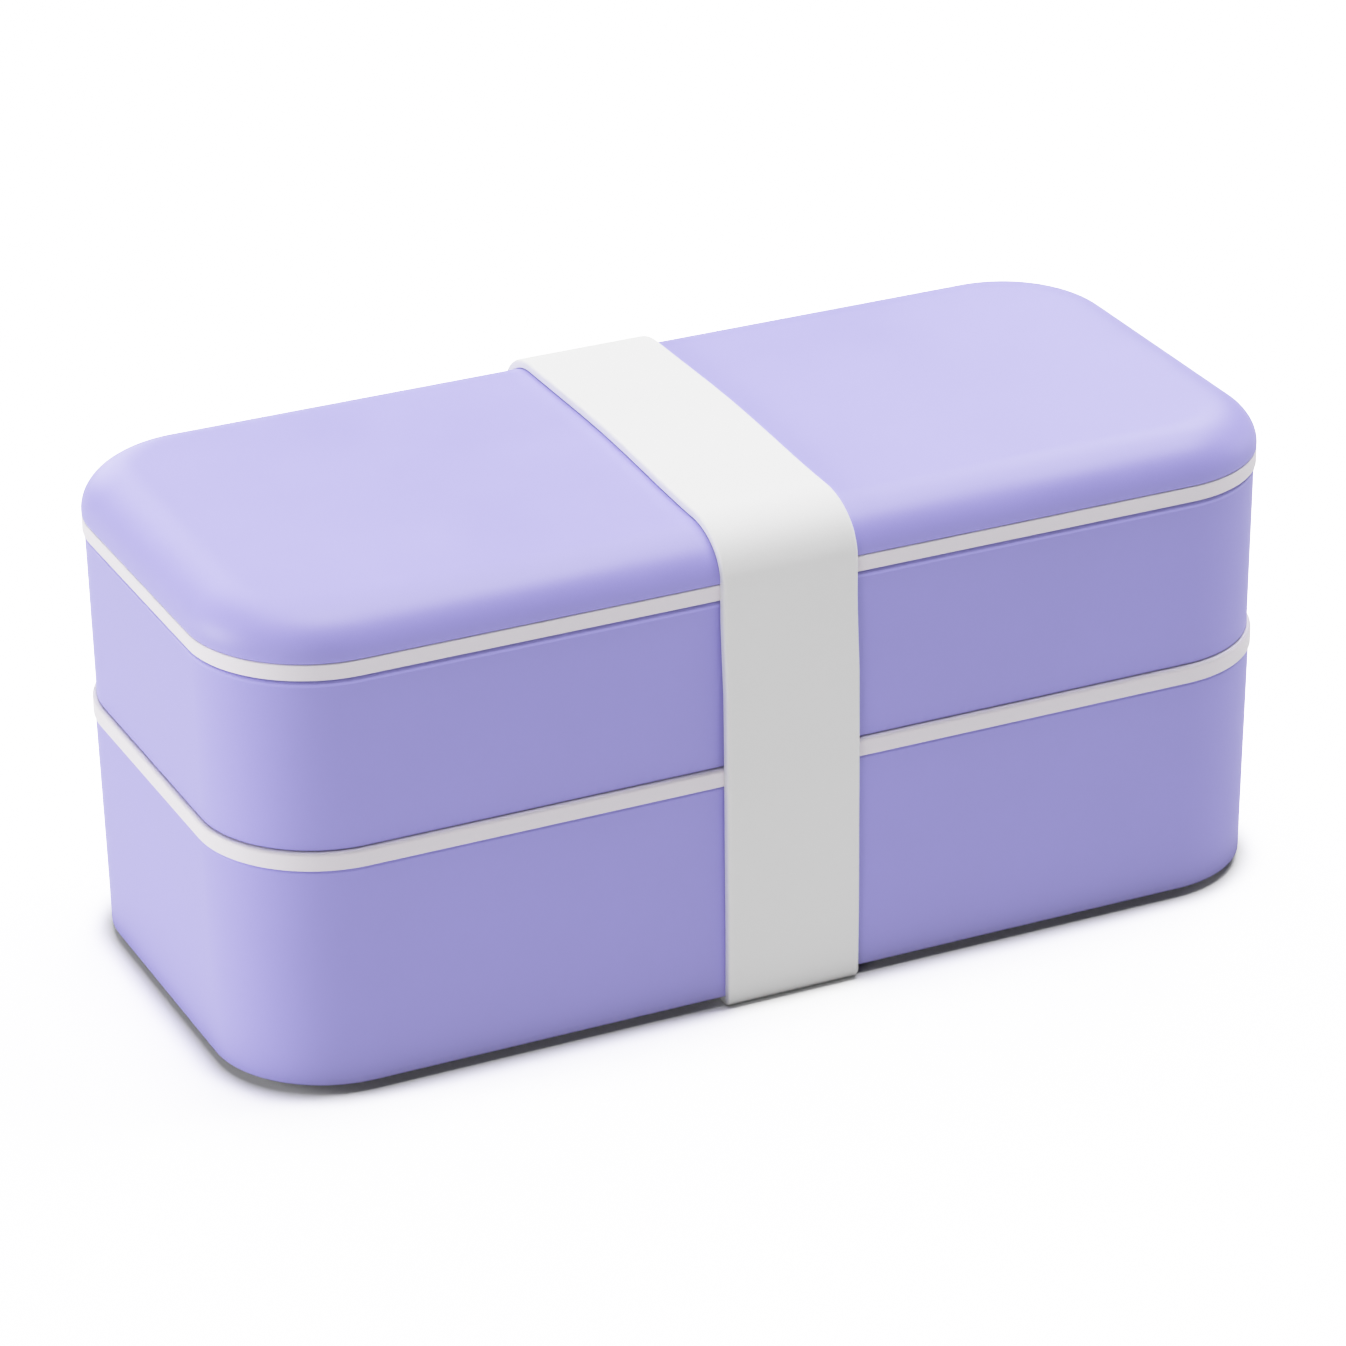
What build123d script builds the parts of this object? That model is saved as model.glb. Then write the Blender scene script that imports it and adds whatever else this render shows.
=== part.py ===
from build123d import *
import os
from math import sqrt

# Two-tier bento lunch box, built the way it comes apart on a bench:
# two drafted food containers, a sealing lid for each, a domed cover, an elastic band,
# the lid gaskets and vent plugs, and a sliding divider in each container.
#
# Frame: millimetres, +Z up, +X along the length. The origin is at the centre of the
# footprint, on the surface the box stands on.
#
# Every outline is the same core rectangle grown by a distance d, so a wall at distance d
# has a plan corner radius of d. Profiles below are drawn in (d, z).

# ---------------------------------------------------------------- driving dimensions
CORE_X = 72.5            # half length of the core rectangle
CORE_Y = 22.2            # half width of the core rectangle
D_MAX = 20.5             # cover and upper sealing lid, so 186.0 x 85.4 mm overall

BASE_Z = 2.0             # underside of the lower container, above its foot rails
LOWER_TOP = 39.8         # rim of the lower container
MID_RIM_TOP = 43.1       # top of the middle lid's rim, seat of the upper container
UPPER_TOP = 72.2         # rim of the upper container
UP_RIM_TOP = 75.3        # top of the upper lid's rim, seat of the cover
COVER_TOP = 82.7         # crown of the cover

WALL = 2.05              # container wall
FLOOR = 2.2              # container floor
D_LOW_0, D_LOW_1 = 19.55, 20.20    # lower container wall at its base and at its rim (draft)
D_UP_0, D_UP_1 = 19.80, 20.15      # upper container wall at its base and at its rim
D_MID_RIM = 20.35        # middle lid's rim stands slightly proud of both walls
IN_R = 4.0               # inner floor radius, easy to wipe

SKIRT = 5.0              # how deep a lid's skirt reaches into its container
SKIRT_T = 2.0            # skirt thickness
SKIRT_CLEAR = 0.45       # skirt to container wall, per side
PANEL_T = 1.6            # lid panel thickness
GROOVE_H, GROOVE_DEEP = 2.6, 0.9   # gasket groove
GASKET_PROUD = 0.20      # gasket nose past the skirt

COVER_T = 2.0            # cover wall
DOME_H, DOME_V = 9.55, 6.95        # half-axes of the cover's elliptical shoulder

FOOT_D0, FOOT_D1 = 9.0, 12.0       # foot rail between these two distances
STRAP_W = 23.5           # elastic band width
STRAP_T = 1.5            # elastic band thickness
STRAP_X = 0.35           # where the band sits along the length
STRAP_GAP = 0.15         # band to box
FOOT_GAP = 34.0          # gap in the foot rails that the band passes through

PLUG_X = 48.0            # vent plugs sit this far from the middle
PLUG_HEAD_R, PLUG_HEAD_T = 7.0, 1.6
HOLE_R = 3.0             # vent hole radius
STEM_CLEAR = 0.06        # plug stem to hole, per side
COLLAR = 0.4             # collar under the panel, round the vent hole

DIV_T = 1.6              # divider wall
DIV_FOOT = 5.0           # divider foot, each side of its wall
DIV_CLEAR = 0.45         # divider to container wall, per side
LOWER_DIV_X = 22.0       # where each divider stands
UPPER_DIV_X = -24.0

os.makedirs("parts", exist_ok=True)


# ---------------------------------------------------------------- helpers
def profile(points, rounds=()):
    """Closed outline in (d, z), stood up in the XZ plane. rounds: (d, z, radius)."""
    face = make_face(Polyline(*points, close=True))
    for d, z, r in rounds:
        v = face.vertices().sort_by_distance(Vector(d, z, 0))[0]
        face = fillet(v, r)
    return Plane.XZ * face


def around(face, core=()):
    """Carry a profile once round the core rectangle; core: (z0, z1) slabs that fill it."""
    pieces = []
    wedge = revolve(face, Axis.Z, 90)
    side_x = Pos(CORE_X, CORE_Y, 0) * extrude(face, 2 * CORE_Y, dir=(0, -1, 0))
    turned = Rot(0, 0, 90) * face
    side_y = Pos(-CORE_X, CORE_Y, 0) * extrude(turned, 2 * CORE_X, dir=(1, 0, 0))
    for k, (sx, sy) in enumerate(((1, 1), (-1, 1), (-1, -1), (1, -1))):
        pieces.append(Pos(sx * CORE_X, sy * CORE_Y, 0) * (Rot(0, 0, 90 * k) * wedge))
    pieces += [side_x, Rot(0, 0, 180) * side_x, side_y, Rot(0, 0, 180) * side_y]
    for z0, z1 in core:
        pieces.append(Pos(0, 0, (z0 + z1) / 2) * Box(2 * CORE_X, 2 * CORE_Y, z1 - z0))
    body = pieces[0]
    body = body.fuse(*pieces[1:]).clean()
    return body


def one(shape):
    """The single solid of a result."""
    solids = shape.solids()
    assert len(solids) == 1, len(solids)
    return solids[0]


def save(shape, node):
    shape.label = node
    export_step(shape, f"parts/{node}.step")


def wall_d(z, z0, z1, d0, d1):
    return d0 + (d1 - d0) * (z - z0) / (z1 - z0)


# ---------------------------------------------------------------- lower container
low_floor = BASE_Z + FLOOR
low_in0 = wall_d(low_floor, BASE_Z, LOWER_TOP, D_LOW_0, D_LOW_1) - WALL
low_in1 = D_LOW_1 - WALL
lower = around(
    profile(
        [
            (0, BASE_Z), (D_LOW_0, BASE_Z), (D_LOW_1, LOWER_TOP),
            (low_in1, LOWER_TOP), (low_in0, low_floor), (0, low_floor),
        ],
        [(D_LOW_0, BASE_Z, 0.9), (low_in0, low_floor, IN_R),
         (D_LOW_1, LOWER_TOP, 0.25), (low_in1, LOWER_TOP, 0.4)],
    ),
    core=[(BASE_Z, low_floor)],
)
# two U-shaped foot rails moulded under the base, with a gap for the band between them
rail = around(
    profile(
        [(FOOT_D0, 0), (FOOT_D1, 0), (FOOT_D1 + 0.3, BASE_Z + 0.5), (FOOT_D0 - 0.3, BASE_Z + 0.5)],
        [(FOOT_D0, 0, 0.5), (FOOT_D1, 0, 0.5)],
    )
)
rail = rail - Pos(STRAP_X, 0, 1) * Box(FOOT_GAP, 4 * CORE_Y + 40, 10)
lower = one((lower + rail).clean())
save(lower, "lower_container")


# ---------------------------------------------------------------- sealing lids
def sealing_lid(seat, rim_top, d_rim, d_in, edge, upstand):
    """A lid: rim on the container's edge, skirt inside it, sunk panel, gasket groove."""
    d_skirt = d_in - SKIRT_CLEAR
    d_inner = d_skirt - SKIRT_T
    skirt_z = seat - SKIRT
    panel0 = skirt_z + 1.2
    panel1 = panel0 + PANEL_T
    g0 = skirt_z + 1.3
    g1 = g0 + GROOVE_H
    top_in = d_inner + 0.5
    pts = [
        (0, panel0), (d_inner, panel0), (d_inner, skirt_z), (d_skirt, skirt_z),
        (d_skirt, g0), (d_skirt - GROOVE_DEEP, g0), (d_skirt - GROOVE_DEEP, g1), (d_skirt, g1),
        (d_skirt, seat), (d_rim, seat), (d_rim, rim_top),
    ]
    rounds = [(d_rim, rim_top, edge), (d_rim, seat, 0.3), (d_skirt, skirt_z, 0.6)]
    if upstand:
        # low ring that centres the cover
        pts += [(17.85, rim_top), (17.55, rim_top + 2.0), (16.35, rim_top + 2.0)]
        rounds += [(17.55, rim_top + 2.0, 0.4), (16.35, rim_top + 2.0, 0.4)]
    else:
        pts += [(top_in, rim_top)]
        rounds += [(top_in, rim_top, 0.5)]
    pts += [(d_inner, panel1), (0, panel1)]
    rounds += [(d_inner, panel1, 1.0)]
    lid = around(profile(pts, rounds), core=[(panel0, panel1)])
    # raised collar and hole for the vent plug
    lid = lid + Pos(PLUG_X, 0, (panel0 + panel1) / 2 - COLLAR / 2) * Cylinder(5.5, PANEL_T + COLLAR)
    lid = lid - Pos(PLUG_X, 0, panel0) * Cylinder(HOLE_R, 12)
    ring = around(
        profile(
            [
                (d_skirt - GROOVE_DEEP + 0.03, g0 + 0.08), (d_skirt + GASKET_PROUD, g0 + 0.5),
                (d_skirt + GASKET_PROUD, g1 - 0.5), (d_skirt - GROOVE_DEEP + 0.03, g1 - 0.08),
            ],
            [(d_skirt + GASKET_PROUD, g0 + 0.5, 0.5), (d_skirt + GASKET_PROUD, g1 - 0.5, 0.5)],
        )
    )
    return one(lid.clean()), one(ring), panel0, panel1


def vent_plug(panel0, panel1):
    """Silicone plug: round head with a finger tab, short stem through the lid's hole."""
    stem_z = panel0 - COLLAR - 0.2
    head = Pos(PLUG_X, 0, panel1 + PLUG_HEAD_T / 2) * Cylinder(PLUG_HEAD_R, PLUG_HEAD_T)
    tab = Pos(PLUG_X + PLUG_HEAD_R + 1.0, 0, panel1 + PLUG_HEAD_T / 2) * Box(6, 6, PLUG_HEAD_T)
    tab = fillet(tab.edges().filter_by(Axis.Z).group_by(Axis.X)[-1], 2.5)
    head = (head + tab).clean()
    head = fillet(head.faces().sort_by(Axis.Z)[-1].edges(), 0.5)
    stem_h = panel1 - stem_z
    stem = Pos(PLUG_X, 0, stem_z + stem_h / 2) * Cylinder(HOLE_R - STEM_CLEAR, stem_h)
    stem = chamfer(stem.faces().sort_by(Axis.Z)[0].edges(), 0.4)
    return one((head + stem).clean())


mid_lid, mid_gasket, mid_p0, mid_p1 = sealing_lid(
    LOWER_TOP, MID_RIM_TOP, D_MID_RIM, low_in1, edge=1.0, upstand=False
)
save(mid_lid, "middle_lid")
save(mid_gasket, "middle_lid_gasket")
save(vent_plug(mid_p0, mid_p1), "middle_vent_plug")

up_in1 = D_UP_1 - WALL
up_lid, up_gasket, up_p0, up_p1 = sealing_lid(
    UPPER_TOP, UP_RIM_TOP, D_MAX, up_in1, edge=0.2, upstand=True
)
save(up_lid, "upper_lid")
save(up_gasket, "upper_lid_gasket")
save(vent_plug(up_p0, up_p1), "upper_vent_plug")


# ---------------------------------------------------------------- upper container
# its base has a 1 mm step that drops inside the middle lid's rim and centres it
STEP_D = low_in1 - SKIRT_CLEAR - SKIRT_T - 0.4
step_z = MID_RIM_TOP - 1.0
up_floor = step_z + FLOOR
up_in0 = wall_d(up_floor, MID_RIM_TOP, UPPER_TOP, D_UP_0, D_UP_1) - WALL
upper = around(
    profile(
        [
            (0, step_z), (STEP_D, step_z), (STEP_D, MID_RIM_TOP), (D_UP_0, MID_RIM_TOP),
            (D_UP_1, UPPER_TOP), (up_in1, UPPER_TOP), (up_in0, up_floor), (0, up_floor),
        ],
        [(D_UP_0, MID_RIM_TOP, 0.5), (STEP_D, step_z, 0.4), (up_in0, up_floor, IN_R),
         (D_UP_1, UPPER_TOP, 0.25), (up_in1, UPPER_TOP, 0.4)],
    ),
    core=[(step_z, up_floor)],
)
save(one(upper), "upper_container")


# ---------------------------------------------------------------- cover
shoulder_z = COVER_TOP - DOME_V
cd = D_MAX - DOME_H


def dome_profile():
    outer = EllipticalCenterArc((cd, shoulder_z), DOME_H, DOME_V, 0, arc_size=90)
    inner = EllipticalCenterArc((cd, shoulder_z), DOME_H - COVER_T, DOME_V - COVER_T, 0, arc_size=90)
    d_in = D_MAX - COVER_T
    edges = [
        Line((0, COVER_TOP - COVER_T), (0, COVER_TOP)),
        Line((0, COVER_TOP), outer @ 1),
        outer,
        Line(outer @ 0, (D_MAX, UP_RIM_TOP)),
        Line((D_MAX, UP_RIM_TOP), (d_in, UP_RIM_TOP)),
        Line((d_in, UP_RIM_TOP), inner @ 0),
        inner,
        Line(inner @ 1, (0, COVER_TOP - COVER_T)),
    ]
    return Plane.XZ * make_face(edges)


cover = around(dome_profile(), core=[(COVER_TOP - COVER_T, COVER_TOP)])
save(one(cover), "lid_cover")


# ---------------------------------------------------------------- dividers
def divider(x, floor_z, d0, top_z, d1, rim_z):
    """Upright partition shaped to the container's section, with a flat foot each side."""
    at = lambda z: CORE_Y + wall_d(z, floor_z, rim_z, d0, d1) - DIV_CLEAR
    z0 = floor_z + 0.15
    y0, y1 = at(z0), at(top_z)
    pts = [(-y0, z0), (y0, z0), (y1, top_z), (-y1, top_z)]
    f = make_face(Polyline(*pts, close=True))
    for px, pz, r in ((-y0, z0, IN_R + 0.6), (y0, z0, IN_R + 0.6), (y1, top_z, 3.0), (-y1, top_z, 3.0)):
        v = f.vertices().sort_by_distance(Vector(px, pz, 0))[0]
        f = fillet(v, r)
    plate = extrude(Plane.YZ * f, DIV_T / 2, both=True)
    foot = Pos(0, 0, z0 + 0.6) * Box(2 * DIV_FOOT + DIV_T, 2 * (y0 - IN_R - 2.5), 1.2)
    foot = fillet(foot.edges().filter_by(Axis.Z), 3.0)
    return one((Pos(x, 0, 0) * (plate + foot)).clean())


save(divider(LOWER_DIV_X, low_floor, low_in0, LOWER_TOP - SKIRT - 0.8, low_in1, LOWER_TOP),
     "lower_divider")
save(divider(UPPER_DIV_X, up_floor, up_in0, UPPER_TOP - SKIRT - 0.8, up_in1, UPPER_TOP),
     "upper_divider")


# ---------------------------------------------------------------- elastic band
def band_loop(grow):
    """Closed section of the band in (y, z), grow outwards from its inner face."""
    g = grow
    z_bot = STRAP_T - g
    y_top = CORE_Y + D_MAX + STRAP_GAP + g
    y_mid = CORE_Y + D_MID_RIM + STRAP_GAP + g
    y_bot = CORE_Y + D_LOW_0 + STRAP_GAP + g
    r_bot = 1.0 + g
    cy, cz = CORE_Y + cd, shoulder_z
    ax, az = DOME_H + STRAP_GAP + g, DOME_V + STRAP_GAP + g
    arc = EllipticalCenterArc((cy, cz), ax, az, 0, arc_size=90)
    right = [
        Line((0, z_bot), (y_bot - r_bot, z_bot)),
        ThreePointArc(
            (y_bot - r_bot, z_bot),
            (y_bot - r_bot + r_bot / sqrt(2), z_bot + r_bot - r_bot / sqrt(2)),
            (y_bot, z_bot + r_bot),
        ),
        Line((y_bot, z_bot + r_bot), (y_mid, LOWER_TOP)),
        Line((y_mid, LOWER_TOP), (y_mid, MID_RIM_TOP)),
        Line((y_mid, MID_RIM_TOP), (y_top, UPPER_TOP)),
        Line((y_top, UPPER_TOP), arc @ 0),
        arc,
        Line(arc @ 1, (0, COVER_TOP + STRAP_GAP + g)),
    ]
    left = [e.mirror(Plane.YZ) for e in right]
    return make_face(right + left)


section = band_loop(STRAP_T) - band_loop(0)
band = Pos(STRAP_X, 0, 0) * extrude(Plane.YZ * section, STRAP_W / 2, both=True)
save(one(band), "elastic_band")
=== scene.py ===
import math

import bmesh
import bpy
from mathutils import Matrix, Vector


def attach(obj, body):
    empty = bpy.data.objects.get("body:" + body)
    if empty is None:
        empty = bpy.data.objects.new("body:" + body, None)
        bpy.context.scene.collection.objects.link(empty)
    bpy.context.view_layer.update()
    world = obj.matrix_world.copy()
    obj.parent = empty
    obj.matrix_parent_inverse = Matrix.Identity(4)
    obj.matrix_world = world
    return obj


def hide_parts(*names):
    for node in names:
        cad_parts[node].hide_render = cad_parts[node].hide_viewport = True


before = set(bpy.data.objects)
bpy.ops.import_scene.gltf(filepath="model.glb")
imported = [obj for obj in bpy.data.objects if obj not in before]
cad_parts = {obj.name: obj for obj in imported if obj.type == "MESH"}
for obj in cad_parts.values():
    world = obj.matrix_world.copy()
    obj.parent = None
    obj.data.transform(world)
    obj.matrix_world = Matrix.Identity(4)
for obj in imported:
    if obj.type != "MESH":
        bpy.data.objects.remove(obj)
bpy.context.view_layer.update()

# ------------------------------------------------------------------ sizes, in millimetres
CORE_X, CORE_Y = 72.5, 22.2          # every outline is this rectangle grown by d
D_MAX = 20.5
BASE_Z, LOWER_TOP, MID_RIM_TOP, UPPER_TOP, UP_RIM_TOP, COVER_TOP = 2.0, 39.8, 43.1, 72.2, 75.3, 82.7
WALL, FLOOR, IN_R = 2.05, 2.2, 4.0
D_LOW_0, D_LOW_1, D_UP_0, D_UP_1, D_MID_RIM = 19.55, 20.20, 19.80, 20.15, 20.35
SKIRT, SKIRT_T, SKIRT_CLEAR, PANEL_T = 5.0, 2.0, 0.45, 1.6
GROOVE_H, GROOVE_DEEP, GASKET_PROUD = 2.6, 0.9, 0.20
COVER_T, DOME_H, DOME_V = 2.0, 9.55, 6.95
FOOT_D0, FOOT_D1, FOOT_GAP = 9.0, 12.0, 34.0
STRAP_X, STRAP_W, STRAP_T, STRAP_GAP = 0.35, 23.55, 1.5, 0.04
PLUG_X, HOLE_R, COLLAR = 48.0, 3.0, 0.4
MM = 0.001


# ------------------------------------------------------------------ mesh helpers
def wall_d(z, z0, z1, d0, d1):
    return d0 + (d1 - d0) * (z - z0) / (z1 - z0)


def rounded(points, step=14.0):
    """Open outline [(d, z, radius)], each corner with a radius turned into a true arc."""
    out = []
    n = len(points)
    for i, (x, y, r) in enumerate(points):
        if r <= 0 or i in (0, n - 1):
            out.append((x, y))
            continue
        p = Vector((x, y))
        a = Vector(points[i - 1][:2]) - p
        b = Vector(points[i + 1][:2]) - p
        la, lb = a.length, b.length
        a.normalize()
        b.normalize()
        ang = a.angle(b)
        t = min(r / math.tan(ang / 2), la * 0.98, lb * 0.98)
        r = t * math.tan(ang / 2)
        c = p + (a + b).normalized() * (r / math.sin(ang / 2))
        s, e = p + a * t - c, p + b * t - c
        turn = math.pi - ang
        k = max(3, int(math.ceil(math.degrees(turn) / step)))
        a0 = math.atan2(s.y, s.x)
        a1 = math.atan2(e.y, e.x)
        d = (a1 - a0 + math.pi) % (2 * math.pi) - math.pi
        for j in range(k + 1):
            w = a0 + d * j / k
            out.append((c.x + r * math.cos(w), c.y + r * math.sin(w)))
    clean = [out[0]]
    for q in out[1:]:
        if math.dist(q, clean[-1]) > 1e-5:
            clean.append(q)
    return clean


def ellipse(cd, cz, ax, az, a0, a1, n):
    return [
        (cd + ax * math.cos(math.radians(a0 + (a1 - a0) * k / n)),
         cz + az * math.sin(math.radians(a0 + (a1 - a0) * k / n)))
        for k in range(n + 1)
    ]


def stations(xs, n_corner, n_y):
    """Points once round the core rectangle: (base x, base y, outward x, outward y), anticlockwise
    from the front left. xs are the x positions along the long sides."""
    st = []
    ys = [-CORE_Y + 2 * CORE_Y * k / n_y for k in range(n_y + 1)]
    sides = [
        [(x, -CORE_Y, 0, -1) for x in xs],
        [(CORE_X, y, 1, 0) for y in ys],
        [(x, CORE_Y, 0, 1) for x in reversed(xs)],
        [(-CORE_X, y, -1, 0) for y in reversed(ys)],
    ]
    corners = [(CORE_X, -CORE_Y, -90), (CORE_X, CORE_Y, 0), (-CORE_X, CORE_Y, 90), (-CORE_X, -CORE_Y, 180)]
    for side, (cx, cy, a0) in zip(sides, corners):
        st += side
        for k in range(1, n_corner):
            a = math.radians(a0 + 90 * k / n_corner)
            st.append((cx, cy, math.cos(a), math.sin(a)))
    return st


LONG_XS = [-CORE_X + 2 * CORE_X * k / 12 for k in range(13)]


def swept(name, outline, closed=False, xs=None, n_corner=28, n_y=4, shift=None):
    """Carries an outline in (d, z) once round the core rectangle. An open outline starts and ends
    at d = 0, and the core rectangle is filled there with a grid. shift(x, y, d, z) may move a point."""
    xs = xs or LONG_XS
    st = stations(xs, n_corner, n_y)
    bm = bmesh.new()
    made = {}

    def vert(x, y, z):
        key = (round(x, 5), round(y, 5), round(z, 5))
        if key not in made:
            made[key] = bm.verts.new((x * MM, y * MM, z * MM))
        return made[key]

    rows = []
    for d, z in outline:
        row = []
        for bx, by, nx, ny in st:
            px, py, pz = bx + d * nx, by + d * ny, z
            if shift:
                px, py, pz = shift(px, py, d, pz, bx, by)
            row.append(vert(px, py, pz))
        rows.append(row)

    def face(vs):
        u = []
        for v in vs:
            if v not in u:
                u.append(v)
        if len(u) >= 3:
            try:
                bm.faces.new(u)
            except ValueError:
                pass

    m = len(st)
    last = len(rows) if closed else len(rows) - 1
    for i in range(last):
        a, b = rows[i], rows[(i + 1) % len(rows)]
        for k in range(m):
            face((a[k], a[(k + 1) % m], b[(k + 1) % m], b[k]))
    if not closed:
        ys = [-CORE_Y + 2 * CORE_Y * k / n_y for k in range(n_y + 1)]
        for z in (outline[0][1], outline[-1][1]):
            for i in range(len(xs) - 1):
                for j in range(n_y):
                    face((vert(xs[i], ys[j], z), vert(xs[i + 1], ys[j], z),
                          vert(xs[i + 1], ys[j + 1], z), vert(xs[i], ys[j + 1], z)))
    bmesh.ops.recalc_face_normals(bm, faces=bm.faces)
    return finish_mesh(name, bm)


def finish_mesh(name, bm, sharp=None):
    mesh = bpy.data.meshes.new(name)
    bm.to_mesh(mesh)
    bm.free()
    for p in mesh.polygons:
        p.use_smooth = True
    o = bpy.data.objects.new(name, mesh)
    bpy.context.scene.collection.objects.link(o)
    w = o.modifiers.new("weighted", "WEIGHTED_NORMAL")
    w.weight = 60
    w.keep_sharp = True
    return o


def cut(o, other):
    """Takes other away from o and keeps only the result."""
    b = o.modifiers.new("cut", "BOOLEAN")
    b.operation, b.solver, b.object = "DIFFERENCE", "EXACT", other
    while o.modifiers[0] != b:
        o.modifiers.move(o.modifiers.find("cut"), 0)
    for m in o.modifiers[1:]:
        m.show_viewport = False
    dg = bpy.context.evaluated_depsgraph_get()
    mesh = bpy.data.meshes.new_from_object(o.evaluated_get(dg), depsgraph=dg)
    for m in o.modifiers[1:]:
        m.show_viewport = True
    o.modifiers.remove(b)
    o.data = mesh
    bpy.data.objects.remove(other)
    for p in o.data.polygons:
        p.use_smooth = True


def rod(name, x, y, z0, z1, r, n=64):
    bm = bmesh.new()
    bmesh.ops.create_cone(bm, cap_ends=True, segments=n, radius1=r * MM, radius2=r * MM, depth=(z1 - z0) * MM,
                          matrix=Matrix.Translation((x * MM, y * MM, (z0 + z1) / 2 * MM)))
    mesh = bpy.data.meshes.new(name)
    bm.to_mesh(mesh)
    bm.free()
    o = bpy.data.objects.new(name, mesh)
    bpy.context.scene.collection.objects.link(o)
    return o


# ------------------------------------------------------------------ containers
low_floor = BASE_Z + FLOOR
low_in0 = wall_d(low_floor, BASE_Z, LOWER_TOP, D_LOW_0, D_LOW_1) - WALL
low_in1 = D_LOW_1 - WALL
foot_xs = sorted(set([-CORE_X + 2 * CORE_X * k / 12 for k in range(13) if abs(-CORE_X + 2 * CORE_X * k / 12 - STRAP_X) > 19]
                     + [STRAP_X + s * v for s in (-1, 1) for v in (FOOT_GAP / 2, FOOT_GAP / 2 + 0.25, FOOT_GAP / 2 + 0.7, 6.0)]))


def foot(px, py, d, z, bx, by):
    """Foot rails stand down from the base, apart from a gap for the band."""
    if z < BASE_Z - 1e-6 and d < FOOT_D1 + 1:
        g = abs(px - STRAP_X) - FOOT_GAP / 2
        on_long_side = abs(by) > CORE_Y - 1e-6 and abs(bx) <= CORE_X
        if on_long_side and g < 0.7:
            keep = 0.0 if g <= 0 else (0.75 if g < 0.5 else 1.0)
            z = BASE_Z + (z - BASE_Z) * keep
    return px, py, z


lower = swept(
    "lower_bowl",
    rounded([
        (0, low_floor, 0), (low_in0, low_floor, IN_R), (low_in1, LOWER_TOP, 0.4), (D_LOW_1, LOWER_TOP, 0.4),
        (D_LOW_0, BASE_Z - 0.38, 0.3), (D_LOW_0 - 0.9, BASE_Z - 0.38, 0.2), (D_LOW_0 - 1.3, BASE_Z, 0.2),
        (FOOT_D1 + 0.25, BASE_Z, 0.3), (FOOT_D1, 0, 0.6), (FOOT_D0, 0, 0.6), (FOOT_D0 - 0.25, BASE_Z, 0.3),
        (0, BASE_Z, 0),
    ]),
    xs=foot_xs,
    shift=foot,
)

STEP_D = low_in1 - SKIRT_CLEAR - SKIRT_T - 0.4
step_z = MID_RIM_TOP - 1.0
up_floor = step_z + FLOOR
up_in0 = wall_d(up_floor, MID_RIM_TOP, UPPER_TOP, D_UP_0, D_UP_1) - WALL
up_in1 = D_UP_1 - WALL
upper = swept(
    "upper_bowl",
    rounded([
        (0, up_floor, 0), (up_in0, up_floor, IN_R), (up_in1, UPPER_TOP, 0.4),
        # the lip comes out nearly level with the rim over it, so the seam between them is a fine groove
        (D_MAX - 0.1, UPPER_TOP, 0.35), (wall_d(UPPER_TOP - 0.85, MID_RIM_TOP, UPPER_TOP, D_UP_0, D_UP_1), UPPER_TOP - 0.85, 0.6),
        (D_UP_0, MID_RIM_TOP + 0.2, 0.15), (D_UP_0 - 1.4, MID_RIM_TOP + 0.2, 0.08), (D_UP_0 - 1.5, MID_RIM_TOP, 0.08),
        (STEP_D, MID_RIM_TOP, 0.2), (STEP_D, step_z, 0.4), (0, step_z, 0),
    ]),
)


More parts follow.
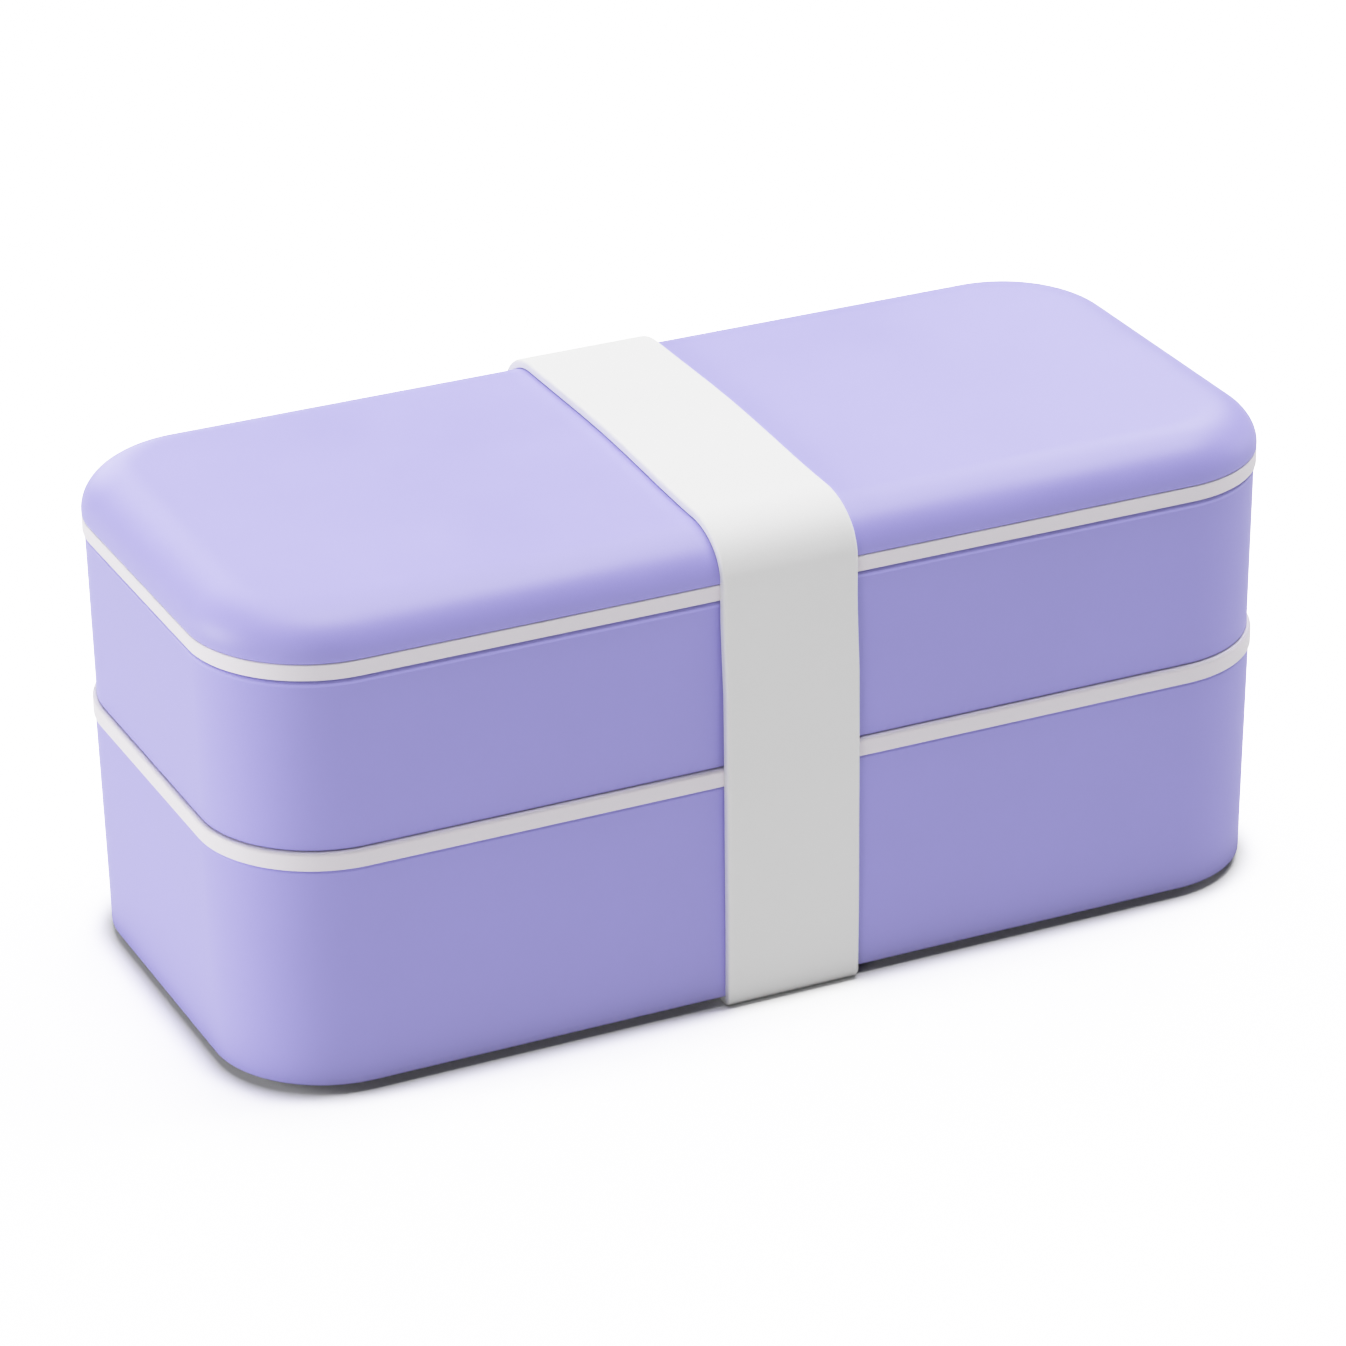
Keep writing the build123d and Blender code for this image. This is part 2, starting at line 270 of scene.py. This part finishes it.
# ------------------------------------------------------------------ sealing lids and gaskets
def sealing_lid(name, seat, rim_top, d_rim, d_in, edge, upstand, gap):
    d_skirt = d_in - SKIRT_CLEAR
    d_inner = d_skirt - SKIRT_T
    skirt_z = seat - SKIRT
    panel0 = skirt_z + 1.2
    panel1 = panel0 + PANEL_T
    g0 = skirt_z + 1.3
    g1 = g0 + GROOVE_H
    top_in = d_inner + 0.5
    pts = [(0, panel1, 0), (d_inner, panel1, 1.0)]
    if upstand:
        pts += [(16.35, rim_top + 2.0, 0.4), (17.55, rim_top + 2.0, 0.4), (17.85, rim_top, 0.2)]
    else:
        pts += [(top_in, rim_top, 0.5)]
    pts += [
        # the rim's outer edge stands a hair off the container's wall: a dark parting line
        (d_rim, rim_top, edge), (d_rim, seat + gap, 0.1), (d_rim - 1.5, seat + gap, 0.08),
        (d_rim - 1.6, seat + 0.02, 0.08), (d_skirt, seat + 0.02, 0.2),
        (d_skirt, g1, 0.08), (d_skirt - GROOVE_DEEP, g1, 0.15), (d_skirt - GROOVE_DEEP, g0, 0.15), (d_skirt, g0, 0.08),
        (d_skirt, skirt_z, 0.6), (d_inner, skirt_z, 0.6), (d_inner, panel0, 0.5), (0, panel0, 0),
    ]
    lid = swept(name, rounded(pts))
    cut(lid, rod("tmp_hole", PLUG_X, 0, panel0 - 3, panel1 + 3, HOLE_R))
    ring = swept(
        name + "_gasket",
        rounded([
            (d_skirt - GROOVE_DEEP + 0.03, (g0 + g1) / 2, 0),
            (d_skirt - GROOVE_DEEP + 0.03, g0 + 0.08, 0.2), (d_skirt - 0.1, g0 + 0.1, 0.15),
            (d_skirt + GASKET_PROUD, g0 + 0.55, 0.4),
            (d_skirt + GASKET_PROUD - 0.02, g0 + 1.0, 0.2), (d_skirt + 0.02, (g0 + g1) / 2, 0.15),
            (d_skirt + GASKET_PROUD - 0.02, g1 - 1.0, 0.2),
            (d_skirt + GASKET_PROUD, g1 - 0.55, 0.4), (d_skirt - 0.1, g1 - 0.1, 0.15),
            (d_skirt - GROOVE_DEEP + 0.03, g1 - 0.08, 0.2), (d_skirt - GROOVE_DEEP + 0.03, (g0 + g1) / 2 + 0.01, 0),
        ]),
        closed=True,
    )
    return lid, ring


mid_lid, mid_ring = sealing_lid("mid_seal_lid", LOWER_TOP, MID_RIM_TOP, D_MAX, low_in1, 0.6, False, 0.25)
up_lid, up_ring = sealing_lid("up_seal_lid", UPPER_TOP, UP_RIM_TOP, D_MAX, up_in1, 0.25, True, 0.38)

# ------------------------------------------------------------------ cover
cd, shoulder_z = D_MAX - DOME_H, COVER_TOP - DOME_V
outline = [(0, COVER_TOP - COVER_T)]
outline += [(cd - 4, COVER_TOP - COVER_T)]
outline += ellipse(cd, shoulder_z, DOME_H - COVER_T, DOME_V - COVER_T, 90, 0, 20)
outline += rounded([
    (D_MAX - COVER_T, shoulder_z - 0.05, 0), (D_MAX - COVER_T, UP_RIM_TOP + 0.05, 0.15),
    (D_MAX, UP_RIM_TOP + 0.05, 0.3), (D_MAX, shoulder_z - 0.01, 0),
])
outline += ellipse(cd, shoulder_z, DOME_H, DOME_V, 0, 90, 32)
outline += [(cd - 4, COVER_TOP), (0, COVER_TOP)]
cover = swept("cover_shell", outline, n_corner=36)


# ------------------------------------------------------------------ elastic band
def askew(y, z):
    """How far along the box the band's middle lies, as it was pulled on: not quite square."""
    if z > 79:
        table, v = ((-36, -0.52), (-28, -0.42), (-20, -0.12), (-12, 0.28), (-4, 0.62), (4, 0.88), (12, 0.94), (20, 0.88), (28, 0.8), (36, 0.8)), y
    elif z < 4:
        table, v = ((-40, 0.08), (40, 0.5)), y
    elif y < 0:
        table, v = ((4, 0.08), (13, 0.06), (20, 0.0), (28, -0.1), (40, -0.2), (56, -0.22), (62, -0.42), (69, -0.6), (76, -0.55)), z
    else:
        table, v = ((4, 0.5), (40, 0.7), (79, 0.8)), z
    if v <= table[0][0]:
        return table[0][1]
    for (a, p), (b, q) in zip(table, table[1:]):
        if v <= b:
            return p + (q - p) * (v - a) / (b - a)
    return table[-1][1]


def band():
    """A continuous band: its centreline goes round the box in (y, z), and its section is 23.5 mm
    wide and 1.5 mm thick, rounded outside and tight against the box inside. It lies slightly askew."""
    g = STRAP_GAP + STRAP_T / 2
    cy = CORE_Y + cd
    line = []
    y_top = CORE_Y + D_MAX + g
    y_mid = CORE_Y + D_MAX + g
    y_bot = CORE_Y + D_LOW_0 + g
    zb = STRAP_T / 2
    rb = 1.2
    # right half, from the bottom middle up to the top middle
    for k in range(6):
        line.append(((y_bot - rb) * k / 6, zb))
    for k in range(9):
        a = math.radians(-90 + 90 * k / 8)
        line.append((y_bot - rb + rb * math.cos(a), zb + rb + rb * math.sin(a)))
    for k in range(1, 13):
        z = zb + rb + (LOWER_TOP - zb - rb) * k / 12
        line.append((y_bot + (y_mid - y_bot) * k / 12, z))
    for z in (MID_RIM_TOP - 1.6, MID_RIM_TOP):
        line.append((y_mid, z))
    for k in range(1, 11):
        z = MID_RIM_TOP + (shoulder_z - MID_RIM_TOP) * k / 10
        line.append((y_mid + (y_top - y_mid) * min(1, k / 9), z))
    for k in range(1, 25):
        a = math.radians(90 * k / 24)
        line.append((cy + (DOME_H + g) * math.cos(a), shoulder_z + (DOME_V + g) * math.sin(a)))
    for k in range(1, 9):
        line.append((cy * (1 - k / 8), COVER_TOP + g))
    full = line + [(-y, z) for y, z in reversed(line[1:-1])]
    # smooth the line a little, as a stretched band does
    for _ in range(2):
        m = len(full)
        full = [((full[i - 1][0] + 2 * full[i][0] + full[(i + 1) % m][0]) / 4,
                 (full[i - 1][1] + 2 * full[i][1] + full[(i + 1) % m][1]) / 4) if 20 < full[i][1] < 79 else full[i]
                for i in range(m)]
    w, t = STRAP_W / 2, STRAP_T / 2
    section = []                       # (across, out)
    for sx, sy, a0, re in ((1, 1, 90, 0.5), (1, -1, 0, 0.25), (-1, -1, -90, 0.25), (-1, 1, -180, 0.5)):
        for k in range(7):
            a = math.radians(a0 - 90 * k / 6)
            section.append((sx * (w - re) + re * math.cos(a), sy * (t - re) + re * math.sin(a)))
    # a few points along the two faces
    dense = []
    for i, p in enumerate(section):
        dense.append(p)
        q = section[(i + 1) % len(section)]
        if math.dist(p, q) > 3:
            for k in range(1, 8):
                f = k / 8
                dense.append((p[0] + (q[0] - p[0]) * f, p[1] + (q[1] - p[1]) * f))
    bm = bmesh.new()
    rows = []
    m = len(full)
    for i in range(m):
        y, z = full[i]
        y0, z0 = full[i - 1]
        y1, z1 = full[(i + 1) % m]
        ty, tz = y1 - y0, z1 - z0
        ln = math.hypot(ty, tz)
        ty, tz = ty / ln, tz / ln
        ny, nz = tz, -ty
        row = []
        lean = askew(y, z)
        for u, v in dense:
            row.append(bm.verts.new(((lean + u) * MM, (y + ny * v) * MM, (z + nz * v) * MM)))
        rows.append(row)
    k = len(dense)
    for i in range(m):
        a, b = rows[i], rows[(i + 1) % m]
        for j in range(k):
            bm.faces.new((a[j], a[(j + 1) % k], b[(j + 1) % k], b[j]))
    bmesh.ops.recalc_face_normals(bm, faces=bm.faces)
    return finish_mesh("stretch_band", bm)


strap = band()


# ------------------------------------------------------------------ materials
def nodes_of(mat):
    mat.use_nodes = True
    nt = mat.node_tree
    nt.nodes.clear()
    out = nt.nodes.new("ShaderNodeOutputMaterial")
    bsdf = nt.nodes.new("ShaderNodeBsdfPrincipled")
    nt.links.new(bsdf.outputs["BSDF"], out.inputs["Surface"])
    return nt, bsdf


def moulded(name, colour, roughness, vary=0.03, grain=0.22, bump=0.012, spec=0.5, sheen=0.0,
            sheen_rough=0.5, sss=0.0, tint=None, haze=0.05):
    """Moulded plastic or rubber: cloudy colour variation, spark-eroded grain and uneven gloss."""
    mat = bpy.data.materials.new(name)
    nt, b = nodes_of(mat)
    n, l = nt.nodes, nt.links
    co = n.new("ShaderNodeTexCoord")
    cloud = n.new("ShaderNodeTexNoise")
    cloud.inputs["Scale"].default_value = 28.0
    cloud.inputs["Detail"].default_value = 5.0
    cloud.inputs["Roughness"].default_value = 0.6
    l.new(co.outputs["Object"], cloud.inputs["Vector"])
    fine = n.new("ShaderNodeTexNoise")
    fine.inputs["Scale"].default_value = 1000.0 / grain / 2
    fine.inputs["Detail"].default_value = 3.0
    fine.inputs["Roughness"].default_value = 0.65
    l.new(co.outputs["Object"], fine.inputs["Vector"])
    ramp = n.new("ShaderNodeValToRGB")
    tint = tint or colour
    lo = [c * (1 - vary) for c in colour]
    hi = [min(1, c * (1 + vary)) for c in tint]
    ramp.color_ramp.elements[0].position = 0.28
    ramp.color_ramp.elements[0].color = (*lo, 1)
    ramp.color_ramp.elements[1].position = 0.72
    ramp.color_ramp.elements[1].color = (*hi, 1)
    mix = n.new("ShaderNodeMath")
    mix.operation = "MULTIPLY_ADD"
    mix.inputs[1].default_value = 0.8
    sub = n.new("ShaderNodeMath")
    sub.operation = "MULTIPLY"
    sub.inputs[1].default_value = 0.2
    l.new(fine.outputs["Fac"], sub.inputs[0])
    l.new(cloud.outputs["Fac"], mix.inputs[0])
    l.new(sub.outputs[0], mix.inputs[2])
    l.new(mix.outputs[0], ramp.inputs["Fac"])
    l.new(ramp.outputs["Color"], b.inputs["Base Color"])
    rr = n.new("ShaderNodeMapRange")
    rr.inputs["From Min"].default_value = 0.3
    rr.inputs["From Max"].default_value = 0.7
    rr.inputs["To Min"].default_value = roughness - haze
    rr.inputs["To Max"].default_value = roughness + haze
    l.new(cloud.outputs["Fac"], rr.inputs["Value"])
    l.new(rr.outputs["Result"], b.inputs["Roughness"])
    bp = n.new("ShaderNodeBump")
    bp.inputs["Strength"].default_value = 1.0
    bp.inputs["Distance"].default_value = bump * MM
    l.new(fine.outputs["Fac"], bp.inputs["Height"])
    l.new(bp.outputs["Normal"], b.inputs["Normal"])
    b.inputs["Specular IOR Level"].default_value = spec
    b.inputs["Sheen Weight"].default_value = sheen
    b.inputs["Sheen Roughness"].default_value = sheen_rough
    b.inputs["Subsurface Weight"].default_value = sss
    b.inputs["Subsurface Scale"].default_value = 0.002
    return mat


lavender = moulded("soft_touch_lavender", (0.396, 0.370, 0.838), 0.5, spec=0.45, sheen=0.0)
white = moulded("moulded_white", (0.83, 0.79, 0.84), 0.45, vary=0.015, spec=0.45)
band_mat = moulded("band_elastomer", (0.84, 0.838, 0.838), 0.6, vary=0.015, grain=0.3, spec=0.4)
silicone = moulded("silicone_seal", (0.70, 0.71, 0.72), 0.5, vary=0.02, spec=0.4)
divider_mat = moulded("divider_plastic", (0.74, 0.73, 0.78), 0.4, vary=0.02, spec=0.45)


def dress(o, mat):
    o.data.materials.clear()
    o.data.materials.append(mat)


for o, mat, slot, body, stands_for in (
    (lower, lavender, "lavender_plastic", "lower_container", "lower_container"),
    (upper, lavender, "lavender_plastic", "upper_container", "upper_container"),
    (cover, lavender, "lavender_plastic", "lid_cover", "lid_cover"),
    (mid_lid, white, "white_plastic", "middle_lid", "middle_lid"),
    (up_lid, white, "white_plastic", "upper_lid", "upper_lid"),
    (mid_ring, silicone, "silicone", "middle_lid", "middle_lid_gasket"),
    (up_ring, silicone, "silicone", "upper_lid", "upper_lid_gasket"),
    (strap, band_mat, "band_elastomer", "elastic_band", "elastic_band"),
):
    dress(o, mat)
    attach(o, body)
    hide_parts(stands_for)

for node, mat in (
    ("lower_divider", divider_mat), ("upper_divider", divider_mat),
    ("middle_vent_plug", silicone), ("upper_vent_plug", silicone),
):
    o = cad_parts[node]
    for s in o.material_slots:
        s.material = mat

# ------------------------------------------------------------------ floor, light, camera
FLOOR_GLOW, WORLD_LIGHT, WHITE, PAPER = 1.175, 0.0, 3.2, 2.5
# a tent of soft lamps, all 1.35 m from the box: (elevation, direction round from +X, power)
LAMPS = [
    (90, 0, 9.78), (65, 0, 8.05), (65, 90, 2.75), (38, 45, 5.28), (38, 90, 1.62),
    (13, 0, 2.50), (13, 90, 3.06), (13, 160, 10.36), (13, 180, 0.45), (13, 225, 2.96),
]

fm = bpy.data.materials.new("floor_paper")
nt, b = nodes_of(fm)
n, l = nt.nodes, nt.links
# the paper as it looks: brightly exposed white, with the box's contact shadow on it, partly real and partly painted
# shade
b.inputs["Base Color"].default_value = (0.95, 0.95, 0.95, 1)
b.inputs["Roughness"].default_value = 0.9
b.inputs["Specular IOR Level"].default_value = 0.0
paper = n.new("ShaderNodeBsdfDiffuse")
paper.inputs["Color"].default_value = (PAPER, PAPER, PAPER, 1)
# far off it is simply white, so the floor and the backdrop run together
co = n.new("ShaderNodeTexCoord")
ln = n.new("ShaderNodeVectorMath")
ln.operation = "LENGTH"
l.new(co.outputs["Object"], ln.inputs[0])
far = n.new("ShaderNodeMapRange")
far.interpolation_type = "SMOOTHSTEP"
far.inputs["From Min"].default_value = 0.35
far.inputs["From Max"].default_value = 1.2
l.new(ln.outputs["Value"], far.inputs["Value"])
glow = n.new("ShaderNodeEmission")
glow.inputs["Strength"].default_value = WHITE
seen_mix = n.new("ShaderNodeMixShader")
l.new(far.outputs["Result"], seen_mix.inputs["Fac"])
l.new(paper.outputs["BSDF"], seen_mix.inputs[1])
l.new(glow.outputs["Emission"], seen_mix.inputs[2])
# the light that it throws back up at the box: even, and none from right under the box
away = n.new("ShaderNodeVectorMath")
away.operation = "ABSOLUTE"
l.new(co.outputs["Object"], away.inputs[0])
less = n.new("ShaderNodeVectorMath")
less.operation = "SUBTRACT"
less.inputs[1].default_value = (CORE_X * MM, CORE_Y * MM, 0)
l.new(away.outputs[0], less.inputs[0])
clip = n.new("ShaderNodeVectorMath")
clip.operation = "MAXIMUM"
clip.inputs[1].default_value = (0, 0, 0)
l.new(less.outputs[0], clip.inputs[0])
dist = n.new("ShaderNodeVectorMath")
dist.operation = "LENGTH"
l.new(clip.outputs[0], dist.inputs[0])
edge = n.new("ShaderNodeMapRange")
edge.interpolation_type = "SMOOTHSTEP"
edge.inputs["From Min"].default_value = (D_MAX - 0.5) * MM
edge.inputs["From Max"].default_value = (D_MAX + 5) * MM
l.new(dist.outputs["Value"], edge.inputs["Value"])
power = n.new("ShaderNodeMath")
power.operation = "MULTIPLY"
power.inputs[1].default_value = FLOOR_GLOW
l.new(edge.outputs["Result"], power.inputs[0])
bounce = n.new("ShaderNodeEmission")
l.new(power.outputs[0], bounce.inputs["Strength"])
lp = n.new("ShaderNodeLightPath")
mix = n.new("ShaderNodeMixShader")
l.new(lp.outputs["Is Camera Ray"], mix.inputs["Fac"])
l.new(bounce.outputs["Emission"], mix.inputs[1])
l.new(seen_mix.outputs[0], mix.inputs[2])
# painted shade: right against the box the paper keeps its ordinary colour, and a few millimetres out it is painted up
# to burnt-out white, so a painted contact shadow hugs the footprint on top of the real one
painted_contact_shadow = n.new("ShaderNodeMapRange")
painted_contact_shadow.interpolation_type = "SMOOTHSTEP"
painted_contact_shadow.inputs["From Min"].default_value = (D_MAX - 1.5) * MM
painted_contact_shadow.inputs["From Max"].default_value = (D_MAX + 4.5) * MM
painted_contact_shadow.inputs["To Min"].default_value = 1.0
painted_contact_shadow.inputs["To Max"].default_value = PAPER
l.new(dist.outputs["Value"], painted_contact_shadow.inputs["Value"])
l.new(painted_contact_shadow.outputs["Result"], paper.inputs["Color"])
n.remove(b)
out = [x for x in n if x.type == "OUTPUT_MATERIAL"][0]
l.new(mix.outputs[0], out.inputs["Surface"])
bm = bmesh.new()
bmesh.ops.create_circle(bm, cap_ends=True, segments=96, radius=6.0)
mesh = bpy.data.meshes.new("floor")
bm.to_mesh(mesh)
bm.free()
floor = bpy.data.objects.new("floor", mesh)
bpy.context.scene.collection.objects.link(floor)
floor.data.materials.append(fm)

scene = bpy.context.scene
view = scene.view_settings
view.view_transform = "Standard"
view.use_curve_mapping = True
tone = view.curve_mapping
tone.white_level = (4.0, 4.0, 4.0)
tone.extend = "HORIZONTAL"
KNEE = 0.45
c = tone.curves[3]
knots = [0.0, KNEE, 0.52, 0.6, 0.7, 0.8, 0.9, 1.05, 1.2, 1.4, 1.65, 1.9, 2.2, 2.6, 3.2, 4.0]
shape = [(x / 4.0, x if x <= KNEE else min(1.0, 1 - (1 - KNEE) * math.exp(-(x - KNEE) / (1 - KNEE)))) for x in knots]
c.points[0].location = shape[0]
c.points[1].location = (1.0, 1.0)
for p in shape[1:-1]:
    c.points.new(*p)
for p in c.points:
    p.handle_type = "AUTO_CLAMPED"
tone.update()

world = bpy.data.worlds.new("studio")
scene.world = world
world.use_nodes = True
wn = world.node_tree
wn.nodes.clear()
wo = wn.nodes.new("ShaderNodeOutputWorld")
dim = wn.nodes.new("ShaderNodeBackground")
dim.inputs["Strength"].default_value = WORLD_LIGHT
seen = wn.nodes.new("ShaderNodeBackground")
seen.inputs["Strength"].default_value = WHITE
wmix = wn.nodes.new("ShaderNodeMixShader")
path = wn.nodes.new("ShaderNodeLightPath")
wn.links.new(path.outputs["Is Camera Ray"], wmix.inputs["Fac"])
wn.links.new(dim.outputs[0], wmix.inputs[1])
wn.links.new(seen.outputs[0], wmix.inputs[2])
wn.links.new(wmix.outputs[0], wo.inputs[0])


def lamp(name, elevation, azimuth, power, size=0.55, far=1.35):
    d = bpy.data.lights.new(name, "AREA")
    d.shape = "DISK"
    d.size = size
    d.energy = power
    e, a = math.radians(elevation), math.radians(azimuth)
    aim = Vector((0, 0, 0.04))
    o = bpy.data.objects.new(name, d)
    o.location = aim + far * Vector((math.cos(a) * math.cos(e), math.sin(a) * math.cos(e), math.sin(e)))
    o.rotation_mode = "QUATERNION"
    o.rotation_quaternion = (aim - o.location).to_track_quat("-Z", "Y")
    o.visible_camera = False
    scene.collection.objects.link(o)
    return o


for elevation, azimuth, power in LAMPS:
    lamp(f"lamp_{elevation:02d}_{azimuth:03d}", elevation, azimuth, power)

cam_data = bpy.data.cameras.new("camera")
cam = bpy.data.objects.new("camera", cam_data)
scene.collection.objects.link(cam)
scene.camera = cam
F, AZ, EL, ROLL, DIST, CX, CY = 5715.1, -24.845, 25.457, -0.786, 945.05, 677.4, 668.97
az, el, ro = (math.radians(v) for v in (AZ, EL, ROLL))
back = Vector((math.sin(az) * math.cos(el), -math.cos(az) * math.cos(el), math.sin(el)))
at = Vector((0, 0, 40.0)) + back * DIST
right = (-back).cross(Vector((0, 0, 1))).normalized()
up = right.cross(-back)
right, up = right * math.cos(ro) + up * math.sin(ro), up * math.cos(ro) - right * math.sin(ro)
fwd = (-back - right * ((CX - 673) / F) + up * ((CY - 673) / F)).normalized()
right = fwd.cross(up).normalized()
up = right.cross(fwd)
cam.matrix_world = Matrix((
    (right.x, up.x, -fwd.x, at.x * MM),
    (right.y, up.y, -fwd.y, at.y * MM),
    (right.z, up.z, -fwd.z, at.z * MM),
    (0, 0, 0, 1),
))
cam_data.sensor_width = 36.0
cam_data.lens = 36.0 * F / 1346.0
cam_data.clip_start, cam_data.clip_end = 0.01, 50.0
